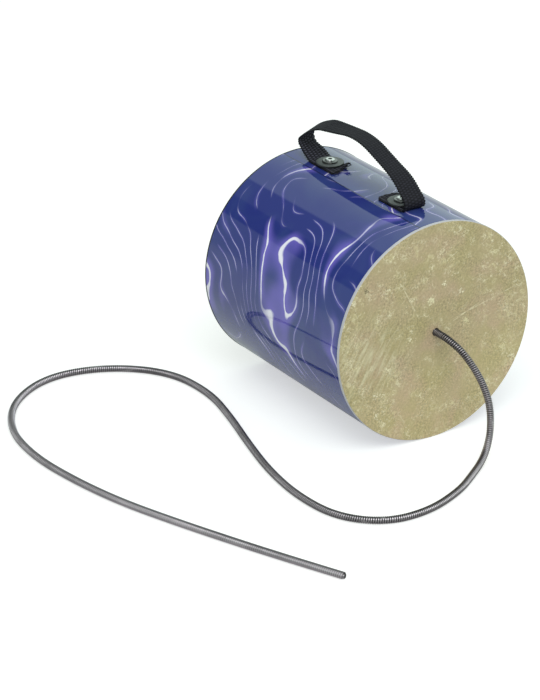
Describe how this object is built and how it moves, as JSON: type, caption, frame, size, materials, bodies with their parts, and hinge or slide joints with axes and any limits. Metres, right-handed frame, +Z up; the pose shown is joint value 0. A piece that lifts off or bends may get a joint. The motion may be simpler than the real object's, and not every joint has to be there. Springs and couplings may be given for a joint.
{
  "type": "thunder tube",
  "caption": "Short printed drum tube, open at one end, with a long close-coiled spring hung from the middle of its head and a riveted webbing strap on top.",
  "frame": {"origin": "on the floor, below the middle of the tube", "axes": "+Z up with the strap on top, +Y along the tube towards its open end, +X to the right when the head is seen from the front"},
  "size_m": [0.314, 0.3431, 0.1849],
  "materials": {
    "fibre_board": "wound kraft fibre",
    "gloss_wrap": "glossy printed film",
    "pale_hoop": "moulded",
    "black_rim": "moulded",
    "mottled_head": "mottled parchment-like film",
    "anchor_fibre": "pressed fibre",
    "plated_steel": "zinc plated",
    "spring_steel": "drawn music wire, close coiled",
    "black_webbing": "woven nylon webbing",
    "washer_steel": "dull zinc",
    "rivet_aluminium": "bright blind rivet"
  },
  "bodies": {
    "tube": {"shell": "fibre_board", "printed_wrap": "gloss_wrap", "head_hoop": "pale_hoop", "rim_ring": "black_rim", "head_film": "mottled_head", "anchor_disc": "anchor_fibre", "spring_ferrule": "plated_steel", "spring_root": "spring_steel", "strap_foot_front": "black_webbing", "strap_foot_rear": "black_webbing", "washer_front": "washer_steel", "washer_rear": "washer_steel", "backing_washer_front": "plated_steel", "backing_washer_rear": "plated_steel", "rivet_front": "rivet_aluminium", "rivet_rear": "rivet_aluminium", "mandrel_front": "plated_steel", "mandrel_rear": "plated_steel"},
    "handle": {"strap_loop": "black_webbing"},
    "spring": {"spring_run": "spring_steel"}
  },
  "joints": [
    {"name": "handle_lean", "type": "hinge", "parent": "tube", "child": "handle", "pos_m": [0, 0.0013, 0.153], "axis": [0, 1, 0], "range_deg": [-35, 35], "stiffness_Nm_per_rad": 0.02},
    {"name": "spring_swing", "type": "hinge", "parent": "tube", "child": "spring", "pos_m": [0, -0.0861, 0.0762], "axis": [0, 0, 1], "range_deg": [-15, 45], "stiffness_Nm_per_rad": 0.01}
  ]
}
